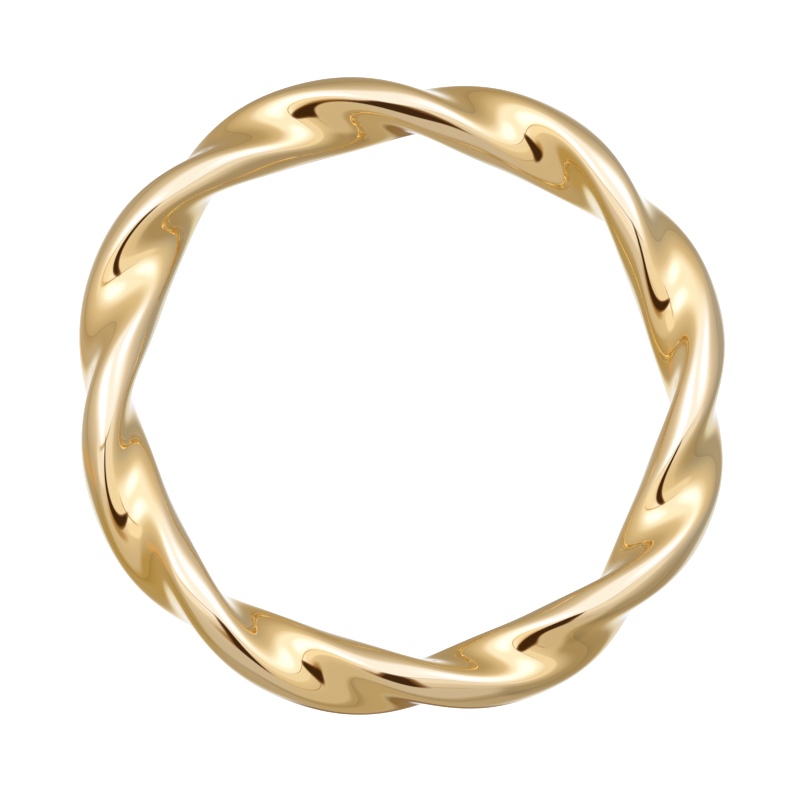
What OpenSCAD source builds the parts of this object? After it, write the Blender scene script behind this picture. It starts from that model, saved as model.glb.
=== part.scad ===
// Rope twist ring
//
// One bar of polished yellow gold with a rounded flat section. It is twisted evenly about its
// own centre line and closed into a hoop, so that it looks like a rope. The ring lies on its
// side: +Z runs along the finger hole, the origin is on the hole's axis, and the lowest
// crest of the twist touches z = 0. All sizes are in millimetres.

/* [Finger hole] */
// Clear diameter inside the crests of the twist, a US size 7
inner_diameter = 17.3; // [14:0.1:23]

/* [Bar] */
// Width of the bar, from one blunt edge to the other
bar_width = 2.72; // [1.8:0.02:4]
// Thickness of the bar at the middle of its faces
bar_thickness = 1.48; // [0.9:0.02:2.4]
// How much fuller the faces are than an oval's, as a share of the thickness
face_fullness = 0.2; // [0:0.01:0.24]
// How far the corners are eased in from an oval's, as a share of the width
corner_easing = 0.03; // [0:0.01:0.08]

/* [Twist] */
// Full turns that the bar makes about its own centre line on the way round
full_turns = 4; // [2:1:6]
// Lean of the bar's width from level at the ring's +X side, in degrees
start_lean = 88.5; // [0:0.5:180]

/* [Mesh] */
// Sections that the ring is built from
sections = 240; // [160:8:240]
// Points round each section
section_points = 24; // [16:4:24]

/* [Hidden] */

gold = "#E0B766";

half_width = bar_width / 2;
half_thickness = bar_thickness / 2;
ring_radius = inner_diameter / 2 + half_width;

// The bar was twisted and bent by hand, so no two half turns are quite alike.
// A row for each half turn, counter-clockwise from its first crest, chosen by eye in coarse steps:
// lead of the twist in degrees, then shares of the ring's radius and of the bar's width.
// The width's share is reached half a row further on, where the bar lies flat.
LEAD = 0;
RADIUS = 1;
WIDTH = 2;
first_crest_angle = -1.5;
hand_finish = [
    [-1,  0,      0],
    [-2,  0.01,   0],
    [-1, -0.005,  0],
    [-3,  0.01,   0.03],
    [ 0, -0.015, -0.04],
    [ 4,  0,     -0.02],
    [ 4,  0,     -0.02],
    [ 1,  0.005,  0],
];
row_angle = 360 / len(hand_finish);

// Runs from 0 to 1 with level ends
function ease(s) = s * s * s * (10 - s * (15 - 6 * s));

// Value of one column of the hand finish at an angle round the ring
function finish(column, angle) =
    let (
        rows = len(hand_finish),
        place = (angle - first_crest_angle) / row_angle + rows,
        row = floor(place),
        here = hand_finish[row % rows][column],
        next = hand_finish[(row + 1) % rows][column]
    )
    here + (next - here) * ease(place - row);

// Outline of the bar at one angle round its own centre line, as [across, through]
function bar_outline(turn, width_share) =
    [
        half_width * (1 + width_share)
            * ((1 - corner_easing) * cos(turn) + corner_easing * cos(3 * turn)),
        half_thickness * ((1 + face_fullness) * sin(turn) + face_fullness * sin(3 * turn)),
    ];

// A point of the twisted bar, before the ring is set down
function band_point(angle, turn) =
    let (
        outline = bar_outline(turn, finish(WIDTH, angle - row_angle / 2)),
        lean = start_lean - full_turns * angle + finish(LEAD, angle),
        out = ring_radius * (1 + finish(RADIUS, angle))
            + outline.x * cos(lean) - outline.y * sin(lean),
        up = outline.x * sin(lean) + outline.y * cos(lean)
    )
    [out * cos(angle), out * sin(angle), up];

band_points = [
    for (i = [0 : sections - 1])
        for (j = [0 : section_points - 1])
            band_point(i * 360 / sections, j * 360 / section_points)
];
resting_height = -min([for (p = band_points) p.z]);

// Place in the list of a section's point, where the last section meets the first
function point_at(i, j) = (i % sections) * section_points + j % section_points;

band_faces = [
    for (i = [0 : sections - 1])
        for (j = [0 : section_points - 1])
            let (
                near = point_at(i, j),
                far = point_at(i + 1, j + 1)
            )
            each [
                [near, point_at(i + 1, j), far],
                [near, far, point_at(i, j + 1)],
            ]
];

// The whole ring, one piece of metal
module twisted_band() {
    color(gold)
        translate([0, 0, resting_height])
            polyhedron(points = band_points, faces = band_faces);
}

twisted_band();
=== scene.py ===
# %% [markdown]
# # A rope twist ring in polished gold
#
# The real ring is one bar of yellow gold with a rounded flat section. The goldsmith grips the bar at
# both ends, twists it evenly, bends it into a hoop, solders the ends and polishes the join away. There
# is no second strand: the look of a rope is only what the light does on the twisted bar.
#
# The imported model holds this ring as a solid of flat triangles, which is right for weight and contact
# but not for a mirror polish, because a mirror shows every flat. So this lesson makes the same bar
# again from the same sizes, finely enough to be smooth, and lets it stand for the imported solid. Then it
# finishes the gold and builds the light tent that a jewellery photographer would use.

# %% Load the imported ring
import math
from collections import namedtuple

import bmesh
import bpy
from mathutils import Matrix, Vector


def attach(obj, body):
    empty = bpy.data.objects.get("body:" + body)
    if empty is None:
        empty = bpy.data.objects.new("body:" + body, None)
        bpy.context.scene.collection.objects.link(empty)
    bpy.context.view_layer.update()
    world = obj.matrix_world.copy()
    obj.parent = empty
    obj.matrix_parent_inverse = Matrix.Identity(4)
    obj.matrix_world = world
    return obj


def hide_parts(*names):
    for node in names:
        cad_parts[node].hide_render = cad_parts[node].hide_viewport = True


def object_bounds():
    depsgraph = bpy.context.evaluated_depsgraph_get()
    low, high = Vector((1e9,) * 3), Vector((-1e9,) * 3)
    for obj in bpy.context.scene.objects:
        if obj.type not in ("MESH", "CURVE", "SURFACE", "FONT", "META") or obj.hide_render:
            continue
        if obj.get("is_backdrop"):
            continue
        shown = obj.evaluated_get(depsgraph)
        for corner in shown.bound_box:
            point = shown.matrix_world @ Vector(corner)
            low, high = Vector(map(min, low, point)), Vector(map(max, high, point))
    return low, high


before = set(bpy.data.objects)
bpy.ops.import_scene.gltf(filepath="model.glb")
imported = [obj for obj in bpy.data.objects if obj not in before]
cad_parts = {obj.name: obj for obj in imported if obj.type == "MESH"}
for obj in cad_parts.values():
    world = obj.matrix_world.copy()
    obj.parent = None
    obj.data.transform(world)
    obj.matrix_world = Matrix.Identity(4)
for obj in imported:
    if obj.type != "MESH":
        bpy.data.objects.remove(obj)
cad_low, cad_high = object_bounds()
MM = 0.001
cad_size = [round(length / MM, 2) for length in cad_high - cad_low]
print("Packed ring, in millimetres:", cad_size)

# %% [markdown]
# ## One way to add a node
#
# Everything below is made of nodes: the bar, the gold and the light tent. A node needs the same few
# lines each time, so one function adds a node with its settings and feeds its sockets. A socket is
# named by its label or by its place among the sockets in use, and what feeds it is a plain value, a
# socket, or a node, which then gives its first output.

# %% Helpers for nodes and colours
def sockets_in_use(sockets):
    """The sockets that a node shows with its present settings, in order."""
    return [socket for socket in sockets if socket.enabled]


def add(tree, kind, feeds=None, **settings):
    """Adds one node, makes its settings, and feeds its sockets."""
    node = tree.nodes.new(kind)
    for name, value in settings.items():
        setattr(node, name, value)
    shown = sockets_in_use(node.inputs)
    for key, source in (feeds or {}).items():
        socket = shown[key] if isinstance(key, int) else next(s for s in shown if s.name == key)
        if isinstance(source, bpy.types.Node):
            source = sockets_in_use(source.outputs)[0]
        if isinstance(source, bpy.types.NodeSocket):
            tree.links.new(source, socket)
        else:
            socket.default_value = source
    return node


def linear(hex_colour, strength=1):
    """Linear red, green, blue and alpha of an sRGB colour written as hex, such as #F7D79C."""
    shares = [int(hex_colour[place:place + 2], 16) / 255 for place in (1, 3, 5)]
    light = [share / 12.92 if share <= 0.04045 else ((share + 0.055) / 1.055) ** 2.4 for share in shares]
    return (*(strength * part for part in light), 1)


def new_group(name, kind, inputs, outputs):
    """A node group with named sockets. Returns the tree, its input node and its output node."""
    tree = bpy.data.node_groups.new(name, kind)
    for label, socket_type in inputs.items():
        tree.interface.new_socket(label, in_out="INPUT", socket_type=socket_type)
    for label, socket_type in outputs.items():
        tree.interface.new_socket(label, in_out="OUTPUT", socket_type=socket_type)
    return tree, tree.nodes.new("NodeGroupInput"), tree.nodes.new("NodeGroupOutput")


print("Middle grey as linear light:", round(linear("#808080")[1], 3))

# %% [markdown]
# ## The sizes that the goldsmith sets
#
# A twisted bar is described by very little: the finger hole, the bar's width and thickness, the number
# of full turns and where the twist starts. The section could be an ellipse, but the photograph shows
# fuller faces than an ellipse has, as on a bar drawn through a rounded plate. Two small shares say so:
# one fills the faces and one eases the corners in.

# %% Driving sizes of the ring
hole_diameter = 17.3 * MM
bar_width = 2.72 * MM
bar_thickness = 1.48 * MM
face_fullness = 0.2
corner_easing = 0.03
full_turns = 4
start_lean = math.radians(88.5)

half_width = bar_width / 2
half_thickness = bar_thickness / 2
ring_radius = hole_diameter / 2 + half_width
print("Radius of the bar's centre line, in millimetres:", round(ring_radius / MM, 2))

# %% [markdown]
# ## The traces of the hand
#
# No two half turns of a hand twisted bar are quite alike. A noise texture could stand for that, but it
# would be somebody else's ring. Here each of the eight half turns has a row of its own, with how far the
# twist leads there and how much the hoop's radius and the bar's width differ. The values follow a fit of
# the ring's outline and shading to the photograph, in coarse steps.
#
# Geometry Nodes can't read a Python table, so the rows go onto eight loose points as attributes. The
# points are also the object that the modifier sits on.

# %% Eight points that carry the hand finish
HalfTurn = namedtuple("HalfTurn", "lead radius_share width_share")
first_crest_angle = math.radians(-1.5)
HAND_FINISH = [
    HalfTurn(lead=-1, radius_share=0, width_share=0),
    HalfTurn(lead=-2, radius_share=0.01, width_share=0),
    HalfTurn(lead=-1, radius_share=-0.005, width_share=0),
    HalfTurn(lead=-3, radius_share=0.01, width_share=0.03),
    HalfTurn(lead=0, radius_share=-0.015, width_share=-0.04),
    HalfTurn(lead=4, radius_share=0, width_share=-0.02),
    HalfTurn(lead=4, radius_share=0, width_share=-0.02),
    HalfTurn(lead=1, radius_share=0.005, width_share=0),
]
row_angle = math.tau / len(HAND_FINISH)


def crest_points():
    """A mesh of one point per half turn, each at its crest on the hoop, with the row's values."""
    angles = [first_crest_angle + row_angle * row for row in range(len(HAND_FINISH))]
    places = [(ring_radius * math.cos(angle), ring_radius * math.sin(angle), 0) for angle in angles]
    mesh = bpy.data.meshes.new("crests")
    mesh.from_pydata(places, [], [])
    for column in HalfTurn._fields:
        values = [getattr(half_turn, column) for half_turn in HAND_FINISH]
        if column == "lead":
            values = [math.radians(value) for value in values]
        mesh.attributes.new(column, "FLOAT", "POINT").data.foreach_set("value", values)
    return mesh


crests = crest_points()
print("Half turns:", len(crests.vertices), "with", ", ".join(HalfTurn._fields))

# %% [markdown]
# ## Reading the hand finish between two crests
#
# Between two crests the metal runs smoothly from one row's value to the next. A straight mix would
# leave a faint kink at each crest, and a mirror polish shows kinks in curvature as broken reflections.
# Smoother Step has no kink in slope or curvature at either end, so the group below uses that.

# %% Node group: hand finish at a place
def hand_finish_group():
    """Gives one attribute of the crest points at a place round the ring, counted in rows."""
    tree, given, result = new_group(
        "hand finish at a place",
        "GeometryNodeTree",
        {"Crests": "NodeSocketGeometry", "Column": "NodeSocketString", "Place": "NodeSocketFloat"},
        {"Value": "NodeSocketFloat"},
    )
    crests_in, column, place = given.outputs[:3]
    rows = add(tree, "GeometryNodeAttributeDomainSize", {"Geometry": crests_in})
    column_field = add(tree, "GeometryNodeInputNamedAttribute", {"Name": column}, data_type="FLOAT")
    row = add(tree, "FunctionNodeFloatToInt", {0: place}, rounding_mode="FLOOR")
    next_row = add(tree, "FunctionNodeIntegerMath", {0: row, 1: 1}, operation="ADD")
    ends = []
    for end in (row, next_row):
        inside = add(tree, "FunctionNodeIntegerMath", {0: end, 1: rows}, operation="FLOORED_MODULO")
        feeds = {"Geometry": crests_in, "Value": column_field, "Index": inside}
        ends.append(add(tree, "GeometryNodeSampleIndex", feeds, data_type="FLOAT", domain="POINT"))
    past_row = add(tree, "ShaderNodeMath", {0: place}, operation="FRACT")
    eased = add(tree, "ShaderNodeMapRange", {"Value": past_row}, interpolation_type="SMOOTHERSTEP")
    value = add(tree, "ShaderNodeMix", {"Factor": eased, "A": ends[0], "B": ends[1]})
    tree.links.new(sockets_in_use(value.outputs)[0], result.inputs["Value"])
    return tree


finish_at = hand_finish_group()
print("Nodes in the hand finish group:", len(finish_at.nodes))

# %% [markdown]
# ## The bar's section
#
# The section is an oval with a little of its third harmonic mixed in: the faces gain some and get
# fuller, and the corners lose some and get rounder. That is a formula with two shares, so the section
# has no corner points that a mirror polish could show. As a group of its own, it can be tried by itself
# before it is swept.
#
# The group also says how near a point is to one of the bar's two rounded edges. The gold needs that later
# for a painted highlight: the edges are painted a lighter gold than the faces.

# %% Node group: point of the section
SECTION_INPUTS = {
    "Turn": "NodeSocketFloat",
    "Half width": "NodeSocketFloat",
    "Half thickness": "NodeSocketFloat",
    "Face fullness": "NodeSocketFloat",
    "Corner easing": "NodeSocketFloat",
    "Width share": "NodeSocketFloat",
}


def section_group():
    """A point of the bar's section, with X across the bar and Z through it, and its edge share."""
    outputs = {"Point": "NodeSocketVector", "Edge share": "NodeSocketFloat"}
    tree, given, result = new_group("point of the section", "GeometryNodeTree", SECTION_INPUTS, outputs)
    value = given.outputs
    triple = add(tree, "ShaderNodeMath", {0: value["Turn"], 1: 3}, operation="MULTIPLY")
    cosine = add(tree, "ShaderNodeMath", {0: value["Turn"]}, operation="COSINE")
    triple_cosine = add(tree, "ShaderNodeMath", {0: triple}, operation="COSINE")
    feeds = {"Factor": value["Corner easing"], "A": cosine, "B": triple_cosine}
    across = add(tree, "ShaderNodeMix", feeds)
    sine = add(tree, "ShaderNodeMath", {0: value["Turn"]}, operation="SINE")
    triple_sine = add(tree, "ShaderNodeMath", {0: triple}, operation="SINE")
    filling = add(tree, "ShaderNodeMath", {0: sine, 1: triple_sine}, operation="ADD")
    feeds = {0: value["Face fullness"], 1: filling, 2: sine}
    through = add(tree, "ShaderNodeMath", feeds, operation="MULTIPLY_ADD")
    feeds = {0: value["Half width"], 1: value["Width share"], 2: value["Half width"]}
    reach = add(tree, "ShaderNodeMath", feeds, operation="MULTIPLY_ADD")
    to_edge = add(tree, "ShaderNodeMath", {0: across, 1: reach}, operation="MULTIPLY")
    feeds = {0: through, 1: value["Half thickness"]}
    to_face = add(tree, "ShaderNodeMath", feeds, operation="MULTIPLY")
    point = add(tree, "ShaderNodeCombineXYZ", {"X": to_edge, "Z": to_face})
    edge_share = add(tree, "ShaderNodeMath", {0: cosine, 1: cosine}, operation="MULTIPLY")
    tree.links.new(point.outputs[0], result.inputs["Point"])
    tree.links.new(edge_share.outputs[0], result.inputs["Edge share"])
    return tree


section_at = section_group()
print("Nodes in the section group:", len(section_at.nodes))

# %% [markdown]
# ## The twisted bar
#
# A curve with a bevel could sweep the section round the hoop, with the twist in the curve's tilt. Then
# the tilt would be guessed between the curve's points, and the width and thickness couldn't change by
# themselves. The twist follows a rule, so the tree states the rule:
#
# 1. A flat grid has one side for the way round the ring and one for the way round the bar.
# 2. The grid is one unit on a side and centred, so its corner is moved to zero, and then each point's
#    place on it gives those two angles.
# 3. The angle round the bar gives a point of the section, which leans with the twist.
# 4. The section is moved out to the hoop's radius and turned to its place on the ring.
# 5. The grid's sides now meet, and Merge by Distance closes both seams.
# 6. The ring is set down on its lowest crest.
#
# A row's lead and radius are reached at its crest. Its width is reached half a row further on, where the
# bar lies flat and its width shows.

# %% Node group: twisted bar
BAR_INPUTS = {
    "Crests": "NodeSocketGeometry",
    "Ring radius": "NodeSocketFloat",
    "Half width": "NodeSocketFloat",
    "Half thickness": "NodeSocketFloat",
    "Face fullness": "NodeSocketFloat",
    "Corner easing": "NodeSocketFloat",
    "Full turns": "NodeSocketInt",
    "Start lean": "NodeSocketFloat",
    "First crest angle": "NodeSocketFloat",
    "Row angle": "NodeSocketFloat",
    "Steps round ring": "NodeSocketInt",
    "Steps round bar": "NodeSocketInt",
    "Metal": "NodeSocketMaterial",
}
grid_corner_shift = (0.5, 0.5, 0)
rows_from_crest_to_flat = 0.5
seam_distance = 0.001 * MM
UV_NAME = "UVMap"
EDGE_NAME = "edge_share"


def twisted_bar_group():
    """Builds the whole ring from its named sizes."""
    outputs = {"Ring": "NodeSocketGeometry"}
    tree, given, result = new_group("twisted bar", "GeometryNodeTree", BAR_INPUTS, outputs)
    size = given.outputs
    points_round_ring = add(tree, "ShaderNodeMath", {0: size["Steps round ring"], 1: 1}, operation="ADD")
    points_round_bar = add(tree, "ShaderNodeMath", {0: size["Steps round bar"], 1: 1}, operation="ADD")
    feeds = {"Vertices X": points_round_ring, "Vertices Y": points_round_bar}
    grid = add(tree, "GeometryNodeMeshGrid", feeds)
    feeds = {"Geometry": grid, "Name": UV_NAME, "Value": grid.outputs["UV Map"]}
    mapped = add(tree, "GeometryNodeStoreNamedAttribute", feeds, data_type="FLOAT2", domain="CORNER")

    grid_place = add(tree, "GeometryNodeInputPosition")
    feeds = {0: grid_place, 1: grid_corner_shift}
    in_turns = add(tree, "ShaderNodeVectorMath", feeds, operation="ADD")
    feeds = {0: in_turns, "Scale": math.tau}
    both_angles = add(tree, "ShaderNodeVectorMath", feeds, operation="SCALE")
    angle, turn, _ = add(tree, "ShaderNodeSeparateXYZ", {0: both_angles}).outputs

    feeds = {0: angle, 1: size["First crest angle"]}
    from_crest = add(tree, "ShaderNodeMath", feeds, operation="SUBTRACT")
    at_crest = add(tree, "ShaderNodeMath", {0: from_crest, 1: size["Row angle"]}, operation="DIVIDE")
    feeds = {0: at_crest, 1: rows_from_crest_to_flat}
    at_flat = add(tree, "ShaderNodeMath", feeds, operation="SUBTRACT")
    finish = {}
    for column in HalfTurn._fields:
        place = at_flat if column == "width_share" else at_crest
        feeds = {"Crests": size["Crests"], "Column": column, "Place": place}
        finish[column] = add(tree, "GeometryNodeGroup", feeds, node_tree=finish_at)

    feeds = {
        "Turn": turn,
        "Half width": size["Half width"],
        "Half thickness": size["Half thickness"],
        "Face fullness": size["Face fullness"],
        "Corner easing": size["Corner easing"],
        "Width share": finish["width_share"],
    }
    section = add(tree, "GeometryNodeGroup", feeds, node_tree=section_at)
    feeds = {"Geometry": mapped, "Name": EDGE_NAME, "Value": section.outputs["Edge share"]}
    marked = add(tree, "GeometryNodeStoreNamedAttribute", feeds, data_type="FLOAT", domain="POINT")

    twist = add(tree, "ShaderNodeMath", {0: size["Full turns"], 1: angle}, operation="MULTIPLY")
    even_lean = add(tree, "ShaderNodeMath", {0: size["Start lean"], 1: twist}, operation="SUBTRACT")
    lean = add(tree, "ShaderNodeMath", {0: even_lean, 1: finish["lead"]}, operation="ADD")
    feeds = {"Vector": section, "Axis": (0, -1, 0), "Angle": lean}
    leaning = add(tree, "ShaderNodeVectorRotate", feeds)
    feeds = {0: size["Ring radius"], 1: finish["radius_share"], 2: size["Ring radius"]}
    out = add(tree, "ShaderNodeMath", feeds, operation="MULTIPLY_ADD")
    outward = add(tree, "ShaderNodeCombineXYZ", {"X": out})
    moved = add(tree, "ShaderNodeVectorMath", {0: leaning, 1: outward}, operation="ADD")
    feeds = {"Vector": moved, "Angle": angle}
    placed = add(tree, "ShaderNodeVectorRotate", feeds, rotation_type="Z_AXIS")
    swept = add(tree, "GeometryNodeSetPosition", {"Geometry": marked, "Position": placed})
    closed = add(tree, "GeometryNodeMergeByDistance", {"Geometry": swept, "Distance": seam_distance})

    height = add(tree, "ShaderNodeSeparateXYZ", {0: add(tree, "GeometryNodeInputPosition")})
    feeds = {"Geometry": closed, "Attribute": height.outputs["Z"]}
    lowest = add(tree, "GeometryNodeAttributeStatistic", feeds).outputs["Min"]
    upward = add(tree, "ShaderNodeMath", {0: lowest, 1: -1}, operation="MULTIPLY")
    lift = add(tree, "ShaderNodeCombineXYZ", {"Z": upward})
    seated = add(tree, "GeometryNodeSetPosition", {"Geometry": closed, "Offset": lift})
    smooth = add(tree, "GeometryNodeSetShadeSmooth", {"Geometry": seated})
    real = add(tree, "GeometryNodeRealizeInstances", {"Geometry": smooth})
    gilded = add(tree, "GeometryNodeSetMaterial", {"Geometry": real, "Material": size["Metal"]})
    tree.links.new(gilded.outputs[0], result.inputs["Ring"])
    return tree


twisted_bar = twisted_bar_group()
print("Nodes in the twisted bar tree:", len(twisted_bar.nodes))

# %% [markdown]
# ## Polished 14 carat yellow gold
#
# The metal is a gold, silver and copper alloy, ground smooth and buffed with rouge until it is a
# mirror. Almost all of its look is what it reflects, and the metal keeps its own way of turning white at
# grazing angles. What keeps it from looking like a computer's mirror is small: the buffing wheel leaves
# the surface very slightly wavy, over about a millimetre, and a haze of hairlines finer than can be seen
# makes the gloss a little uneven.
#
# The faces are painted a shade richer than the rounded edges, as painted shade, and the edges a lighter
# gold, as a painted highlight. The edge share that the tree stored says where each one is.
#
# The waves and the haze are noise on Object coordinates, so they are the same from every side and have
# no seam.

# %% Material: buffed yellow gold
# Painted shade and painted highlight: a richer gold for the faces and a lighter gold for the edges.
FACE_GOLD_PAINTED_SHADED = "#F8D791"
EDGE_GOLD_PAINTED_HIGHLIGHT = "#F4DAA3"
painted_highlight_begins = 0.35
painted_highlight_ends = 0.85
painted_highlight_drift_patch = 5.0 * MM
painted_highlight_drift = 0.12
buffing_wave = 1.6 * MM
buffing_height = 0.0006 * MM
haze_patch = 0.9 * MM
plain_detail = 1.0
haze_detail = 3.0
roughness_clear = 0.035
roughness_hazy = 0.06


def buffed_gold():
    """14 carat yellow gold, buffed to a mirror that is slightly wavy and slightly uneven in gloss, with a
    painted highlight on the edges.
    """
    metal = bpy.data.materials.new("buffed_yellow_gold")
    metal.use_nodes = True
    tree = metal.node_tree
    shader = tree.nodes["Principled BSDF"]
    shader.inputs["Metallic"].default_value = 1
    place = add(tree, "ShaderNodeTexCoord").outputs["Object"]

    edge_share = add(tree, "ShaderNodeAttribute", attribute_name=EDGE_NAME).outputs["Fac"]
    # This noise makes the border of the painted highlight wander a little.
    feeds = {"Vector": place, "Scale": 1 / painted_highlight_drift_patch, "Detail": plain_detail}
    alloy = add(tree, "ShaderNodeTexNoise", feeds)
    feeds = {"Value": alloy, "To Min": -painted_highlight_drift, "To Max": painted_highlight_drift}
    drift = add(tree, "ShaderNodeMapRange", feeds)
    drifted = add(tree, "ShaderNodeMath", {0: edge_share, 1: drift}, operation="ADD")
    # Where the edge share is high, the edges get the painted highlight; elsewhere the faces keep the
    # painted shade.
    feeds = {"Value": drifted, "From Min": painted_highlight_begins, "From Max": painted_highlight_ends}
    painted_highlight_share = add(tree, "ShaderNodeMapRange", feeds, interpolation_type="SMOOTHSTEP")
    feeds = {"Factor": painted_highlight_share, "A": linear(FACE_GOLD_PAINTED_SHADED), "B": linear(EDGE_GOLD_PAINTED_HIGHLIGHT)}
    colour = add(tree, "ShaderNodeMix", feeds, data_type="RGBA")
    tree.links.new(sockets_in_use(colour.outputs)[0], shader.inputs["Base Color"])

    feeds = {"Vector": place, "Scale": 1 / haze_patch, "Detail": haze_detail}
    haze = add(tree, "ShaderNodeTexNoise", feeds)
    feeds = {"Value": haze, "To Min": roughness_clear, "To Max": roughness_hazy}
    roughness = add(tree, "ShaderNodeMapRange", feeds)
    tree.links.new(roughness.outputs[0], shader.inputs["Roughness"])

    feeds = {"Vector": place, "Scale": 1 / buffing_wave, "Detail": plain_detail}
    wave = add(tree, "ShaderNodeTexNoise", feeds)
    bump = add(tree, "ShaderNodeBump", {"Height": wave, "Distance": buffing_height})
    tree.links.new(bump.outputs[0], shader.inputs["Normal"])
    return metal


gold = buffed_gold()
print("Gold on the faces", FACE_GOLD_PAINTED_SHADED, "and on the edges", EDGE_GOLD_PAINTED_HIGHLIGHT)
print("Roughness from", roughness_clear, "to", roughness_hazy)

# %% [markdown]
# ## Making the ring
#
# The modifier's inputs are set by their identifiers before anything looks at the object. The evaluated
# result is copied into a plain mesh, and the modifier goes away: the finished piece is a mesh at the
# origin, unturned and unscaled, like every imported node.
#
# 960 by 96 faces make a face about 0.07 mm across, which is about two pixels in the photograph.

# %% Grow the bar and turn it into a plain mesh
steps_round_ring = 960
steps_round_bar = 96
SIZES = {
    "Ring radius": ring_radius,
    "Half width": half_width,
    "Half thickness": half_thickness,
    "Face fullness": face_fullness,
    "Corner easing": corner_easing,
    "Full turns": full_turns,
    "Start lean": start_lean,
    "First crest angle": first_crest_angle,
    "Row angle": row_angle,
    "Steps round ring": steps_round_ring,
    "Steps round bar": steps_round_bar,
    "Metal": gold,
}


def grown_ring():
    """The ring as a plain mesh object, made by the twisted bar tree on the crest points."""
    host = bpy.data.objects.new("crests", crests)
    bpy.context.scene.collection.objects.link(host)
    modifier = host.modifiers.new("twisted bar", "NODES")
    modifier.node_group = twisted_bar
    for socket in twisted_bar.interface.items_tree:
        if socket.name in SIZES:
            modifier[socket.identifier] = SIZES[socket.name]
    evaluated = host.evaluated_get(bpy.context.evaluated_depsgraph_get())
    mesh = bpy.data.meshes.new_from_object(evaluated)
    host.modifiers.remove(modifier)
    bpy.data.objects.remove(host)
    mesh.name = "polished_band"
    ring = bpy.data.objects.new("polished_band", mesh)
    bpy.context.scene.collection.objects.link(ring)
    return ring


ring = grown_ring()
print("Faces:", len(ring.data.polygons), "vertices:", len(ring.data.vertices))

# %% [markdown]
# ## Is it a sound skin?
#
# A mirror finish hides a bad mesh until the light catches it, so the mesh is measured instead of
# trusted. Every edge should have two faces. The volume is positive only when the faces point outwards,
# and it times gold's density is the ring's weight.

# %% Measure the skin
GOLD_GRAMS_PER_CM3 = 13.1
MM3_PER_CM3 = 1000


def measure(mesh):
    """Edges without two faces, and cubic millimetres. Turns the mesh if it was inside out."""
    work = bmesh.new()
    work.from_mesh(mesh)
    loose = sum(len(edge.link_faces) != 2 for edge in work.edges)
    volume = work.calc_volume(signed=True) / MM**3
    if volume < 0:
        bmesh.ops.reverse_faces(work, faces=work.faces)
        work.to_mesh(mesh)
    work.free()
    return loose, volume


open_edges, volume = measure(ring.data)
print("Open edges:", open_edges, "volume in cubic millimetres:", round(volume, 1))
print("Weight in grams:", round(abs(volume) / MM3_PER_CM3 * GOLD_GRAMS_PER_CM3, 2))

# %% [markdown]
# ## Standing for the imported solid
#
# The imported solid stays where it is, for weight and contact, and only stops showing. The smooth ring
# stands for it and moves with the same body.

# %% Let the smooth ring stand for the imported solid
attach(ring, "root")
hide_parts("twisted_band")
print(ring.name, "stands for twisted_band")

# %% [markdown]
# ## The camera
#
# The photograph is taken from nearly straight above with a long lens. The ring's own outline says how
# nearly: the lens stands about fourteen degrees off the finger hole's axis, towards the bottom of the
# picture. The distance is a free choice as long as the lens matches it, so the camera stands 0.9 m away.

# %% Camera at the photograph's angle
PICTURE_PIXELS = 800
HOLE_CENTRE_PIXEL = (400.1, 395.1)
pixel_size = 0.03396 * MM
camera_tilt = math.radians(14.2)
camera_azimuth = math.radians(255.5)
camera_distance = 0.9
camera_sight = 10 * camera_distance
sensor_width = 36

frame_width = pixel_size * PICTURE_PIXELS
to_camera = Vector((
    math.sin(camera_tilt) * math.cos(camera_azimuth),
    math.sin(camera_tilt) * math.sin(camera_azimuth),
    math.cos(camera_tilt),
))
camera_turn = Vector((0, 0, 1)).rotation_difference(to_camera)
picture_right = camera_turn @ Vector((1, 0, 0))
picture_up = camera_turn @ Vector((0, 1, 0))


def photo_camera():
    """A long lens aimed so that the finger hole's centre falls on its own pixel."""
    camera_data = bpy.data.cameras.new("photo_camera")
    camera_data.sensor_width = sensor_width
    camera_data.lens = sensor_width * camera_distance / frame_width
    camera_data.clip_end = camera_sight
    camera = bpy.data.objects.new("photo_camera", camera_data)
    low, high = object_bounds()
    hole_centre = Vector((0, 0, (low.z + high.z) / 2))
    right = (PICTURE_PIXELS / 2 - HOLE_CENTRE_PIXEL[0]) * pixel_size
    up = (HOLE_CENTRE_PIXEL[1] - PICTURE_PIXELS / 2) * pixel_size
    aim = hole_centre + picture_right * right + picture_up * up
    camera.location = aim + to_camera * camera_distance
    camera.rotation_euler = camera_turn.to_euler()
    bpy.context.scene.collection.objects.link(camera)
    return camera


bpy.context.scene.camera = photo_camera()
print("Lens in millimetres:", round(bpy.context.scene.camera.data.lens))

# %% [markdown]
# ## The floor
#
# The photograph has no shadow under the ring, and the ring's steep sides reflect a bright backdrop from
# below the horizon. So the real ring most likely lay on a plate of clear glass, far above whatever was
# behind it. A clear plate alone would look like nothing at all here, and the lesson wants a plain pale
# floor.
#
# The floor is therefore both. The camera sees a plain white floor, lit from all round so that the ring
# throws hardly any shadow on it. The ring sees a glass plate: mostly what lies behind it, and at flat
# angles more and more of the ring's own mirror image. Light Path tells the two apart by the kind of
# ray, so the floor is white from every angle.

# %% Floor
FLOOR_COLOUR = "#F4F4F4"
PURE_WHITE = "#FFFFFF"
floor_roughness = 0.7
floor_glow = 0.8
floor_radius = 2.5
floor_corners = 96
floor_gap = 0.005 * MM
GLASS_IOR = 1.5


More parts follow.
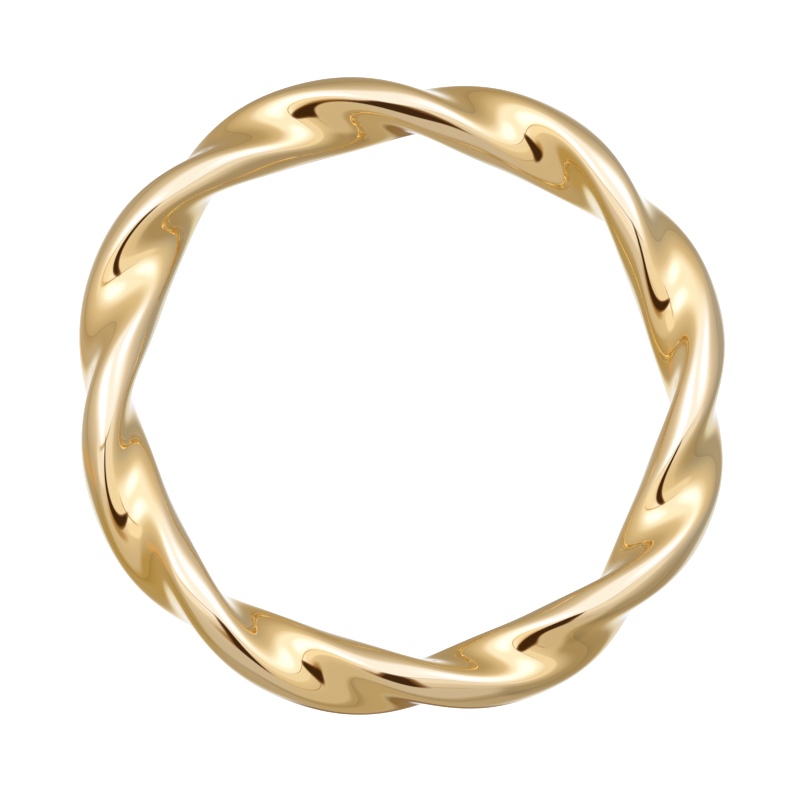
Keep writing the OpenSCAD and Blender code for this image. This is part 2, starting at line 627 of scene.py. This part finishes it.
def white_floor():
    """A large round floor just under the ring, white to the camera and clear glass to the ring."""
    surface = bpy.data.materials.new("white_floor_on_glass")
    surface.use_nodes = True
    tree = surface.node_tree
    white = tree.nodes["Principled BSDF"]
    white.inputs["Base Color"].default_value = linear(FLOOR_COLOUR)
    white.inputs["Roughness"].default_value = floor_roughness
    white.inputs["Emission Color"].default_value = linear(PURE_WHITE)
    white.inputs["Emission Strength"].default_value = floor_glow
    clear = add(tree, "ShaderNodeBsdfTransparent")
    mirror = add(tree, "ShaderNodeBsdfGlossy", {"Roughness": 0})
    mirror_share = add(tree, "ShaderNodeFresnel", {"IOR": GLASS_IOR})
    glass = add(tree, "ShaderNodeMixShader", {0: mirror_share, 1: clear, 2: mirror})
    camera_ray = add(tree, "ShaderNodeLightPath").outputs["Is Camera Ray"]
    both = add(tree, "ShaderNodeMixShader", {0: camera_ray, 1: glass, 2: white})
    tree.links.new(both.outputs[0], tree.nodes["Material Output"].inputs["Surface"])
    work = bmesh.new()
    bmesh.ops.create_circle(work, cap_ends=True, radius=floor_radius, segments=floor_corners)
    mesh = bpy.data.meshes.new("floor")
    work.to_mesh(mesh)
    work.free()
    mesh.materials.append(surface)
    for corner in mesh.vertices:
        corner.co.z = -floor_gap
    floor = bpy.data.objects.new("floor", mesh)
    bpy.context.scene.collection.objects.link(floor)
    floor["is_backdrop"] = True
    return floor


floor = white_floor()
print("Floor radius in metres:", floor_radius, "with", len(floor.data.vertices), "corners")

# %% [markdown]
# ## The light tent
#
# Polished metal is photographed inside a tent of white cloth, with lamps outside it and a slot for the
# lens. The ring then has nothing to reflect but cloth, two lamps' glow, a sewn seam, the dark slot and
# the bright backdrop behind the glass, and those are what give the gold its shape.
#
# The tent could be built of panels and lamps, but it only ever shows as a reflection, so it is painted
# on the world. Its parts are placed as they would show on two polished balls:
#
# - The front ball lies beside the ring. Its middle shows the lens, and a point 0.7 of the way to its rim
#   shows what is square to the lens.
# - All that is behind the ring is squeezed into the front ball's rim. So the back ball is the same ball
#   seen from behind, and its middle shows what is straight behind the ring.
#
# So x and y below are shares of a ball's radius, to the right and up in the picture. A panel's colour
# is one of a few tints of cloth and card, and its strength is how brightly the lamps shine on it or
# through it. The tent's walls come first, because a wall reaches round to the sides of the backdrop.
# What lies behind the ring is laid over them, and what hangs in front comes last.

# %% Node group: one soft panel of the tent
PANEL_INPUTS = {
    "Behind": "NodeSocketColor",
    "Ball place": "NodeSocketVector",
    "Centre": "NodeSocketVector",
    "Turn": "NodeSocketVector",
    "Half size": "NodeSocketVector",
    "Taper": "NodeSocketFloat",
    "Squareness": "NodeSocketFloat",
    "Softness": "NodeSocketFloat",
    "Light": "NodeSocketColor",
}


def panel_group():
    """Lays one soft-edged panel over what is behind it."""
    outputs = {"Light": "NodeSocketColor"}
    tree, given, result = new_group("soft panel", "ShaderNodeTree", PANEL_INPUTS, outputs)
    value = given.outputs
    feeds = {
        "Vector": value["Ball place"],
        "Location": value["Centre"],
        "Rotation": value["Turn"],
        "Scale": value["Half size"],
    }
    on_panel = add(tree, "ShaderNodeMapping", feeds, vector_type="TEXTURE")
    side = add(tree, "ShaderNodeSeparateXYZ", {0: on_panel})
    feeds = {0: value["Taper"], 1: side.outputs["Y"], 2: 1}
    narrowing = add(tree, "ShaderNodeMath", feeds, operation="MULTIPLY_ADD")
    feeds = {0: side.outputs["X"], 1: narrowing}
    across = add(tree, "ShaderNodeMath", feeds, operation="MULTIPLY")
    powers = []
    for distance in (across, side.outputs["Y"]):
        length = add(tree, "ShaderNodeMath", {0: distance}, operation="ABSOLUTE")
        feeds = {0: length, 1: value["Squareness"]}
        powers.append(add(tree, "ShaderNodeMath", feeds, operation="POWER"))
    total = add(tree, "ShaderNodeMath", {0: powers[0], 1: powers[1]}, operation="ADD")
    root = add(tree, "ShaderNodeMath", {0: 1, 1: value["Squareness"]}, operation="DIVIDE")
    from_centre = add(tree, "ShaderNodeMath", {0: total, 1: root}, operation="POWER")
    inner = add(tree, "ShaderNodeMath", {0: 1, 1: value["Softness"]}, operation="SUBTRACT")
    outer = add(tree, "ShaderNodeMath", {0: 1, 1: value["Softness"]}, operation="ADD")
    feeds = {"Value": from_centre, "From Min": inner, "From Max": outer, "To Min": 1, "To Max": 0}
    cover = add(tree, "ShaderNodeMapRange", feeds, interpolation_type="SMOOTHSTEP")
    feeds = {"Factor": cover, "A": value["Behind"], "B": value["Light"]}
    mixed = add(tree, "ShaderNodeMix", feeds, data_type="RGBA")
    tree.links.new(sockets_in_use(mixed.outputs)[0], result.inputs["Light"])
    return tree


soft_panel = panel_group()
print("Nodes in a soft panel:", len(soft_panel.nodes))

# %% Panels of the tent, each laid over those before it
FRONT = 1
BACK = -1
WHITE_CLOTH = "#F8F4FF"
WARM_CLOTH = "#FFF2E2"
COOL_CLOTH = "#E6E9FF"
BLUE_CLOTH = "#C8D4FF"
SKY_CLOTH = "#D8E4FF"
LAMP_LIGHT = "#C0C2FF"
GILT_CARD = "#FFE9B0"
AMBER_CARD = "#FFDAA4"
BROWN_LINING = "#FFB97A"
tent_strength = 0.49
Panel = namedtuple("Panel", "name ball centre half_size turn taper squareness softness colour strength")
PANELS = [
    Panel("right wall", FRONT, (0.66, 0.2), (0.3, 0.7), 0, 0, 2, 0.6, COOL_CLOTH, 0.52),
    Panel("left wall", FRONT, (-0.85, 0.16), (0.09, 0.2), 0, 0, 2, 0.6, WHITE_CLOTH, 0.62),
    Panel("shaded lower right", FRONT, (0.54, -0.4), (0.26, 0.28), 0, 0, 2, 0.5, WARM_CLOTH, 0.43),
    Panel("golden lower left", FRONT, (-0.6, -0.36), (0.2, 0.24), 0, 0, 4, 0.25, GILT_CARD, 0.5),
    Panel("amber card at the left", FRONT, (-0.72, -0.04), (0.15, 0.06), 0, 0, 2, 0.5, AMBER_CARD, 0.7),
    Panel("sill", BACK, (-0.08, -0.58), (0.3, 0.14), 0, 0, 2, 0.5, WARM_CLOTH, 0.54),
    Panel("far backdrop", BACK, (0, -0.04), (0.32, 0.33), 0, 0, 2, 0.5, SKY_CLOTH, 1.4),
    Panel("backdrop left", BACK, (-0.25, -0.09), (0.17, 0.15), 20, 0, 2, 0.55, SKY_CLOTH, 1.35),
    Panel("backdrop right", BACK, (0.28, -0.11), (0.16, 0.13), 0, 0, 2, 0.6, SKY_CLOTH, 1.2),
    Panel("shade at the top", BACK, (-0.12, 0.35), (0.15, 0.2), 0, 0, 2, 0.5, WARM_CLOTH, 0.43),
    Panel("shade at the foot", BACK, (0, -0.27), (0.085, 0.17), 0, 0.4, 2, 0.3, AMBER_CARD, 0.3),
    Panel("front cloth", FRONT, (-0.06, -0.23), (0.37, 0.31), 0, 0, 4, 0.12, WHITE_CLOTH, 0.71),
    Panel("corner below the cloth", FRONT, (0.37, -0.56), (0.06, 0.13), 10, 0, 2, 0.5, WARM_CLOTH, 0.38),
    Panel("wide glow", FRONT, (0.02, 0.23), (0.59, 0.38), 0, 0, 2.5, 0.45, WHITE_CLOTH, 0.91),
    Panel("lit cloth", FRONT, (0.015, 0.26), (0.385, 0.22), 5, 0, 3, 0.28, BLUE_CLOTH, 1.9),
    Panel("left lamp", FRONT, (-0.18, 0.22), (0.105, 0.095), 0, 0, 2, 0.7, LAMP_LIGHT, 3.2),
    Panel("right lamp", FRONT, (0.22, 0.3), (0.105, 0.095), 0, 0, 2, 0.7, LAMP_LIGHT, 3.1),
    Panel("cloth left of the slot", FRONT, (-0.27, 0.035), (0.15, 0.065), 0, 0, 3, 0.25, COOL_CLOTH, 1.3),
    Panel("cloth right of the slot", FRONT, (0.22, 0.035), (0.24, 0.065), 0, 0, 3, 0.25, COOL_CLOTH, 1.2),
    Panel("seam", FRONT, (-0.02, 0.1), (0.26, 0.006), 3, 0, 8, 0.4, GILT_CARD, 0.6),
    Panel("fold below the slot", FRONT, (0.13, -0.19), (0.06, 0.006), -18, 0, 4, 0.5, AMBER_CARD, 0.45),
    Panel("fringe of the slot", FRONT, (-0.1, -0.13), (0.09, 0.07), 0, 0, 2, 0.5, AMBER_CARD, 0.45),
    Panel("slot's lining", FRONT, (-0.012, -0.05), (0.076, 0.165), -10, 0.55, 3, 0.12, BROWN_LINING, 0.24),
    Panel("lens slot", FRONT, (-0.014, -0.06), (0.058, 0.147), -10, 0.55, 3, 0.12, BROWN_LINING, 0.055),
]


def ball_places(tree):
    """Where a direction of the world shows on the front ball and on the back ball."""
    direction = add(tree, "ShaderNodeTexCoord").outputs["Generated"]
    feeds = {"Vector": direction, "Rotation": camera_turn.to_euler()}
    seen = add(tree, "ShaderNodeVectorRotate", feeds, rotation_type="EULER_XYZ", invert=True)
    places = {}
    for ball in (FRONT, BACK):
        halfway = add(tree, "ShaderNodeVectorMath", {0: seen, 1: (0, 0, ball)}, operation="ADD")
        on_ball = add(tree, "ShaderNodeVectorMath", {0: halfway}, operation="NORMALIZE")
        feeds = {0: on_ball, 1: (1, 1, 0)}
        places[ball] = add(tree, "ShaderNodeVectorMath", feeds, operation="MULTIPLY")
    return places


def light_tent():
    """Makes the world: white for the camera, and the tent for everything else."""
    world = bpy.data.worlds.new("light_tent")
    bpy.context.scene.world = world
    world.use_nodes = True
    tree = world.node_tree
    background = tree.nodes["Background"]
    places = ball_places(tree)
    light = linear(WARM_CLOTH, tent_strength)
    for panel in PANELS:
        feeds = {
            "Behind": light,
            "Ball place": places[panel.ball],
            "Centre": (*panel.centre, 0),
            "Turn": (0, 0, math.radians(panel.turn)),
            "Half size": (*panel.half_size, 1),
            "Taper": panel.taper,
            "Squareness": panel.squareness,
            "Softness": panel.softness,
            "Light": linear(panel.colour, panel.strength),
        }
        light = add(tree, "ShaderNodeGroup", feeds, node_tree=soft_panel, label=panel.name)
    to_camera_ray = add(tree, "ShaderNodeLightPath").outputs["Is Camera Ray"]
    feeds = {"Factor": to_camera_ray, "A": light, "B": linear(PURE_WHITE)}
    shown = add(tree, "ShaderNodeMix", feeds, data_type="RGBA")
    tree.links.new(sockets_in_use(shown.outputs)[0], background.inputs["Color"])


light_tent()
bpy.context.scene.view_settings.view_transform = "Standard"
print("Panels in the tent:", len(PANELS))
